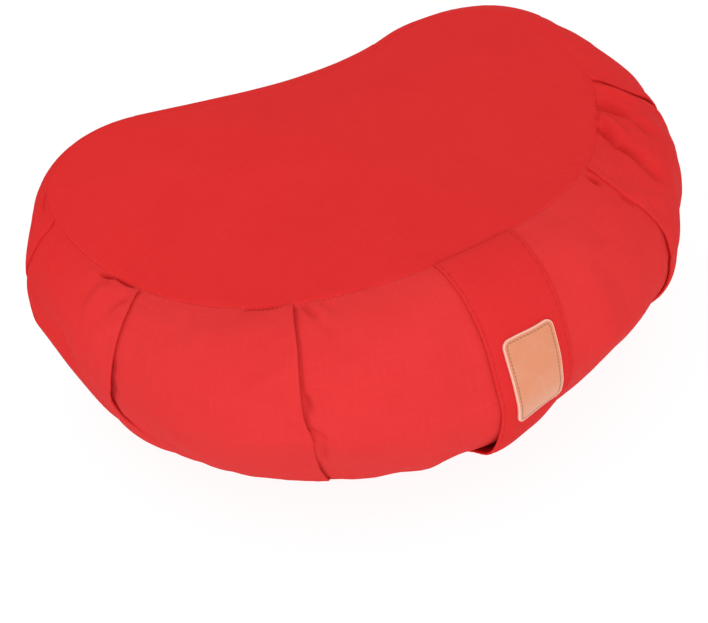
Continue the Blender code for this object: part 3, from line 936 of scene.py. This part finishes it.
def stitch_tree():
    """Geometry Nodes: one short thread at every pitch along a line. Returns the tree and its sockets' names."""
    tree = bpy.data.node_groups.new("row of stitches", "GeometryNodeTree")
    sockets = {}
    inputs = {"Line": "Geometry", "Pitch": "Float", "Length": "Float", "Thickness": "Float", "Thread": "Material"}
    for name, kind in inputs.items():
        socket = tree.interface.new_socket(name, in_out="INPUT", socket_type="NodeSocket" + kind)
        sockets[name] = socket.identifier
    tree.interface.new_socket("Stitches", in_out="OUTPUT", socket_type="NodeSocketGeometry")

    def node(kind, settings=None, **values):
        return add_node(tree, kind, settings, values).outputs

    given = node("NodeGroupInput")
    curve = node("GeometryNodeMeshToCurve", Mesh=given["Line"])[0]
    spaced = node("GeometryNodeResampleCurve", {"mode": "LENGTH"}, Curve=curve, Length=given["Pitch"])[0]
    bead = node("GeometryNodeMeshUVSphere", Segments=6, Rings=5, Radius=0.5)[0]
    tangent = node("GeometryNodeInputTangent")[0]
    turned = node("FunctionNodeAlignRotationToVector", {"axis": "Z"}, Vector=tangent)[0]
    size = node("ShaderNodeCombineXYZ", X=given["Thickness"], Y=given["Thickness"], Z=given["Length"])[0]
    placed = node("GeometryNodeInstanceOnPoints", Points=spaced, Instance=bead, Rotation=turned, Scale=size)[0]
    real = node("GeometryNodeRealizeInstances", Geometry=placed)[0]
    finished = node("GeometryNodeSetMaterial", Geometry=real, Material=given["Thread"])[0]
    node("NodeGroupOutput", Stitches=finished)
    return tree, sockets


def sew(name, lines, pitch, length, thickness, thread):
    """Sews a row of stitches along each line of points. A line that ends where it starts is sewn right round."""
    tree, sockets = stitch_tree()
    points, edges = [], []
    for line, closed in lines:
        first = len(points)
        points += np.asarray(line).tolist()
        edges += [(first + k, first + k + 1) for k in range(len(line) - 1)]
        if closed:
            edges.append((len(points) - 1, first))
    guide = add_object(name + "_guide", new_mesh(name, points, edges))
    modifier = guide.modifiers.new("stitches", "NODES")
    modifier.node_group = tree
    for key, value in (("Pitch", pitch), ("Length", length), ("Thickness", thickness), ("Thread", thread)):
        modifier[sockets[key]] = value
    evaluated = guide.evaluated_get(bpy.context.evaluated_depsgraph_get())
    finished = bpy.data.meshes.new_from_object(evaluated)
    bpy.data.objects.remove(guide, do_unlink=True)
    finished.name = name
    return new_piece(name, finished)


def strap_edge_line(side, end):
    walked = np.linspace(0.004, end - 0.004, 160)
    across = side * (HANDLE_WIDTH / 2 - STRAP_HEM)
    height = STRAP_LIFT + STRAP_THICKNESS - STRAP_HEM_DEPTH + THREAD_OUT
    return strap_surface(HANDLE_X + across, strap_share(walked), height)


def patch_line():
    """The line of the patch's stitches, round its rounded outline."""
    half_x, half_y = PATCH_WIDTH / 2 - PATCH_HEM, PATCH_HEIGHT / 2 - PATCH_HEM
    corner = PATCH_CORNER - PATCH_HEM
    points = []
    for sx, sy, start in ((1, 1, 0), (-1, 1, 90), (-1, -1, 180), (1, -1, 270)):
        for turned in np.radians(np.linspace(start, start + 90, 9)):
            x = sx * (half_x - corner) + corner * math.cos(turned)
            y = sy * (half_y - corner) + corner * math.sin(turned)
            points.append((x, y))
    points = np.array(points)
    dense = []
    for a, b in zip(points, np.roll(points, -1, 0)):
        steps = max(1, int(np.linalg.norm(b - a) / 0.0008))
        dense += [a + (b - a) * k / steps for k in range(steps)]
    return on_patch(*np.array(dense).T, PATCH_THICKNESS - PATCH_HEM_DEPTH + THREAD_OUT)


# ---- Finishes ----


class Amount:
    """A number that varies over a surface. Sums and products of it add Math nodes to its finish."""

    def __init__(self, finish, socket):
        self.finish = finish
        self.socket = socket

    def math(self, operation, *others):
        return self.finish.amount("ShaderNodeMath", {"operation": operation}, dict(enumerate((self, *others))))

    def __add__(self, other):
        return self.math("ADD", other)

    def __mul__(self, other):
        return self.math("MULTIPLY", other)

    def __sub__(self, other):
        return self.math("SUBTRACT", other)

    def __rsub__(self, other):
        return self.math("MULTIPLY", -1.0) + other

    __radd__ = __add__
    __rmul__ = __mul__

    def held(self):
        """Kept between 0 and 1."""
        return self.math("MAXIMUM", 0.0).math("MINIMUM", 1.0)

    def rise(self, low, high):
        """0 at low, 1 at high, smooth between."""
        values = {"Value": self, "From Min": low, "From Max": high}
        return self.finish.amount("ShaderNodeMapRange", {"interpolation_type": "SMOOTHSTEP"}, values)

    def dip(self, middle, width):
        """1 at the middle, falling off to nothing at this width on both sides."""
        return 1 - (self - middle).math("ABSOLUTE").rise(0.0, width)


MIX_COLOUR_A, MIX_COLOUR_B, MIX_COLOUR = 6, 7, 2  # places of a Mix node's colour sockets


class Finish:
    """A material under construction, with a Principled shader."""

    def __init__(self, name):
        self.material = bpy.data.materials.new(name)
        self.material.use_nodes = True
        self.tree = self.material.node_tree
        self.shader = self.tree.nodes["Principled BSDF"]

    def node(self, kind, settings=None, values=None):
        return add_node(self.tree, kind, settings, values)

    def amount(self, kind, settings=None, values=None, output=0):
        return Amount(self, self.node(kind, settings, values).outputs[output])

    def attribute(self, name):
        return self.amount("ShaderNodeAttribute", {"attribute_name": name}, output="Fac")

    def cloth_place(self):
        """The piece's own UV map in metres, as (vector, along, down)."""
        uv = self.node("ShaderNodeUVMap", {"uv_map": "cloth"}).outputs[0]
        parts = self.node("ShaderNodeSeparateXYZ", values={0: uv})
        return uv, Amount(self, parts.outputs[0]), Amount(self, parts.outputs[1])

    def noise(self, vector, scale, detail, rough, stretch=(1.0, 1.0, 1.0)):
        placed = self.node("ShaderNodeMapping", values={"Vector": vector, "Scale": stretch}).outputs[0]
        values = {"Vector": placed, "Scale": scale, "Detail": detail, "Roughness": rough}
        return self.amount("ShaderNodeTexNoise", values=values)

    def blend(self, share, first, second):
        """A colour between two: each is a colour or a socket."""
        first, second = ((*end, 1.0) if isinstance(end, tuple) else end for end in (first, second))
        values = {"Factor": share, MIX_COLOUR_A: first, MIX_COLOUR_B: second}
        return self.node("ShaderNodeMix", {"data_type": "RGBA"}, values).outputs[MIX_COLOUR]

    def relief(self, height, strength, distance, onto=None):
        values = {"Height": height, "Strength": strength, "Distance": distance}
        if onto is not None:
            values["Normal"] = onto
        return self.node("ShaderNodeBump", values=values).outputs[0]

    def done(self, colour, roughness, normal, **constants):
        values = {"Base Color": colour, "Roughness": roughness, "Normal": normal}
        values |= {key.replace("_", " "): value for key, value in constants.items()}
        fill(self.tree, self.shader, values)
        return self.material


THREAD_PITCH = 0.00052


def scaled(colour, factors):
    return tuple(np.multiply(colour, factors).tolist())


def plain_weave(name, panel_red, painted_lit_red, with_seams):
    """Plain-woven cotton: threads over and under each other, with thicker stretches, and a soft matt surface. Painted
    light makes the front of the band paler, a painted highlight runs along the top panel's edge at the seam and painted
    shade darkens the seam's stitch marks.
    """
    finish = Finish(name)
    uv, along, down = finish.cloth_place()
    weft = (along * (math.pi / THREAD_PITCH)).math("SINE")
    warp = (down * (math.pi / THREAD_PITCH)).math("SINE")
    crossing = weft * warp
    slub_down = finish.noise(uv, 900.0, 2.0, 0.6, (1.0, 0.06, 1.0))
    slub_along = finish.noise(uv, 900.0, 2.0, 0.6, (0.06, 1.0, 1.0))
    threads = slub_down + slub_along - 1.0
    broad = finish.noise(uv, 22.0, 3.0, 0.55)
    fine = finish.noise(uv, 2600.0, 2.0, 0.6)
    shade = (0.50 + (broad - 0.5) * 0.9 + threads * 0.9 + crossing * 0.18).held()
    band_face = finish.attribute("band")
    marked = finish.attribute("marked")
    # Painted light: towards the front of the band the colour goes over to the paler red, as if more light fell there.
    painted_light_share = band_face * finish.attribute("painted_light")
    deep = finish.blend(painted_light_share, *(scaled(red, (0.93, 0.80, 0.80)) for red in (panel_red, painted_lit_red)))
    colour = finish.blend(shade, deep, finish.blend(painted_light_share, panel_red, painted_lit_red))
    roughness = 0.80 + (fine - 0.5) * 0.16 - crossing * 0.04
    height = crossing * 0.5 + threads * 1.1 + fine * 0.3
    normal = finish.relief(height, 0.55, 0.00012)
    if with_seams:
        from_seam = finish.attribute("from_seam")
        hole = (along * (TURN / 0.0029)).math("SINE").rise(0.1, 0.9)
        fading = finish.noise(uv, 28.0, 2.0, 0.5).rise(0.38, 0.62)
        # The stitch marks are partly real and partly painted shade: they are sunk into the relief, and their colour is
        # darkened as painted shade.
        stitched = from_seam.dip(0.0007, 0.0010) * hole * band_face * (0.25 + 0.75 * fading) * marked
        # Painted highlight: a paler line along the top panel's edge at the seam, where the rolled edge would catch the
        # light.
        edge = from_seam.dip(0.0004, 0.0007) * (1 - band_face) * marked * (0.2 + 0.8 * fading)
        colour = finish.blend(0.45 * stitched, colour, STITCH_SHADE_RED)
        colour = finish.blend(0.30 * edge, colour, scaled(painted_lit_red, 1.25))
        normal = finish.relief(1 - stitched, 0.6, 0.0003, normal)
    return finish.done(colour, roughness, normal, Specular_IOR_Level=0.02)


def tan_leather():
    """Smooth tan leather: a fine pebbled grain, cloudy colour, a paler cut edge and a soft gloss, with a painted sheen
    that makes its lower part paler.
    """
    finish = Finish("tan leather")
    uv, _, down = finish.cloth_place()
    inset = finish.attribute("inset")
    pores = finish.amount("ShaderNodeTexVoronoi", {"feature": "DISTANCE_TO_EDGE"}, {"Vector": uv, "Scale": 1900.0})
    cells = pores.rise(0.0, 0.28)
    clouds = finish.noise(uv, 85.0, 4.0, 0.6)
    fibres = finish.noise(uv, 700.0, 3.0, 0.65, (1.0, 0.35, 1.0))
    # Painted sheen: the patch is painted paler towards its lower end, as a reflection would make it.
    lower_sheen = (down * -1.0).rise(-0.010, 0.024)
    lowest_sheen = (down * -1.0).rise(0.004, 0.023)
    pale = clouds.rise(0.40, 0.78) * 0.40 + lower_sheen * 0.34 + lowest_sheen * 0.32 + (fibres - 0.5) * 0.5
    colour = finish.blend(pale.held(), LEATHER_TAN, LEATHER_PALE_AND_SHEEN)
    colour = finish.blend((1 - cells) * 0.22, colour, (0.50, 0.17, 0.085))
    groove = inset.dip(PATCH_HEM, 0.0007)
    colour = finish.blend(groove * 0.35, colour, (0.42, 0.15, 0.08))
    edge = 1 - inset.rise(0.0003, 0.0009)
    colour = finish.blend(edge * 0.85, colour, LEATHER_EDGE)
    roughness = 0.46 + clouds * 0.16 - cells * 0.05 - lower_sheen * 0.06
    normal = finish.relief(cells * 0.6 + fibres * 0.4 + clouds * 0.8, 0.35, 0.00015)
    return finish.done(colour, roughness, normal, Specular_IOR_Level=0.42)


def thread(name, colour):
    """Sewing thread, with the twist of its plies."""
    finish = Finish(name)
    place = finish.node("ShaderNodeTexCoord").outputs["Object"]
    parts = finish.node("ShaderNodeSeparateXYZ", values={0: place})
    x, y, z = (Amount(finish, socket) for socket in parts.outputs)
    plies = ((x + y + z) * (TURN / 0.0006)).math("SINE")
    fuzz = finish.noise(place, 1800.0, 2.0, 0.6)
    lit = 0.5 + plies * 0.25 + (fuzz - 0.5) * 0.6
    shade = finish.blend(lit.held(), colour, scaled(colour, 1.35))
    return finish.done(shade, 0.62 + fuzz * 0.2, finish.relief(plies, 0.5, 0.00008), Specular_IOR_Level=0.25)


# ---- Setting ----


def lit_floor():
    """A plain pale floor of lit white acrylic, wide enough for every view."""
    corners = [(x * FLOOR_REACH, y * FLOOR_REACH, -FLOOR_GAP) for x, y in ((-1, -1), (1, -1), (1, 1), (-1, 1))]
    finish = Finish("white acrylic")
    place = finish.node("ShaderNodeTexCoord").outputs["Object"]
    fibre = finish.noise(place, 260.0, 3.0, 0.6)
    colour = finish.blend(fibre, FLOOR_WHITE, scaled(FLOOR_WHITE, 0.985))
    normal = finish.relief(fibre, 0.05, 0.0002)
    glow = {"Emission_Color": (1, 1, 1, 1), "Emission_Strength": FLOOR_GLOW}
    acrylic = finish.done(colour, 0.85 + fibre * 0.05, normal, Specular_IOR_Level=0.0, **glow)
    return new_piece("floor", new_mesh("floor", corners, faces=[(0, 1, 2, 3)]), acrylic)


def soft_light(name, at, towards, size, power):
    light = bpy.data.lights.new(name, "AREA")
    light.shape = "DISK"
    light.size = size
    light.energy = power
    lamp = add_object(name, light)
    lamp.location = at
    lamp.rotation_euler = (Vector(towards) - Vector(at)).to_track_quat("-Z", "Y").to_euler()


def set_camera():
    azimuth, elevation, roll = (math.radians(a) for a in (CAMERA_AZIMUTH, CAMERA_ELEVATION, CAMERA_ROLL))
    ahead = math.cos(elevation)
    back = Vector((math.sin(azimuth) * ahead, -math.cos(azimuth) * ahead, math.sin(elevation)))
    level = Vector((math.cos(azimuth), math.sin(azimuth), 0.0))
    upright = back.cross(level)
    right = level * math.cos(roll) + upright * math.sin(roll)
    up = upright * math.cos(roll) - level * math.sin(roll)
    camera = bpy.data.cameras.new("camera")
    camera.sensor_width = 36.0
    camera.lens = CAMERA_LENS
    camera.clip_start, camera.clip_end = 0.05, 50.0
    holder = add_object("camera", camera)
    holder.matrix_world = Matrix.Translation(CAMERA_AT) @ Matrix((right, up, back)).transposed().to_4x4()
    bpy.context.scene.camera = holder


def set_light():
    world = bpy.data.worlds.new("white room")
    world.use_nodes = True
    fill(world.node_tree, world.node_tree.nodes["Background"], {"Color": (1, 1, 1, 1), "Strength": 0.97})
    bpy.context.scene.world = world
    soft_light("front softbox", (-1.0, -1.8, 0.80), (0, 0, 0.08), 1.0, 13.0)
    soft_light("top softbox", (-0.6, 0.5, 1.9), (0, 0, 0.1), 1.2, 3.0)
    bpy.context.scene.view_settings.view_transform = "Standard"


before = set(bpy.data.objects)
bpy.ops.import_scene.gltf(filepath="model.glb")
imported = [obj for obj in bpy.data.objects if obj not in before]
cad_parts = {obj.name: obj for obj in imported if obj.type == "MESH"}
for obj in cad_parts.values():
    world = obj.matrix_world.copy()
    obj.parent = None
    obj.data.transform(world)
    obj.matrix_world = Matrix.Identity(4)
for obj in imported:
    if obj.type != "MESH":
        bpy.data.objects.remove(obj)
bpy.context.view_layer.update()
set_camera()
set_light()
lit_floor()

cushion = make_cushion(plain_weave("red cotton cover", PANEL_RED, PAINTED_LIT_RED, True))
strap, strap_end = make_strap(plain_weave("red cotton strap", STRAP_RED, STRAP_RED, False))
patch = make_patch(tan_leather())
red_thread = thread("red thread", THREAD_RED)
strap_lines = [(strap_edge_line(side, strap_end), False) for side in (-1, 1)]
strap_stitches = sew("handle_stitches", strap_lines, 0.0028, 0.0021, 0.00045, red_thread)
brown_thread = thread("brown thread", THREAD_BROWN)
patch_stitches = sew("patch_stitches", [(patch_line(), True)], 0.0023, 0.0015, 0.00050, brown_thread)

for piece, slot in (
    (cushion, "red_cotton"),
    (strap, "red_cotton_handle"),
    (strap_stitches, "red_cotton_handle"),
    (patch, "tan_leather"),
    (patch_stitches, "tan_leather"),
):
    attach(piece, "root")
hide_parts("cushion")
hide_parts("carry_handle")
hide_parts("leather_patch")
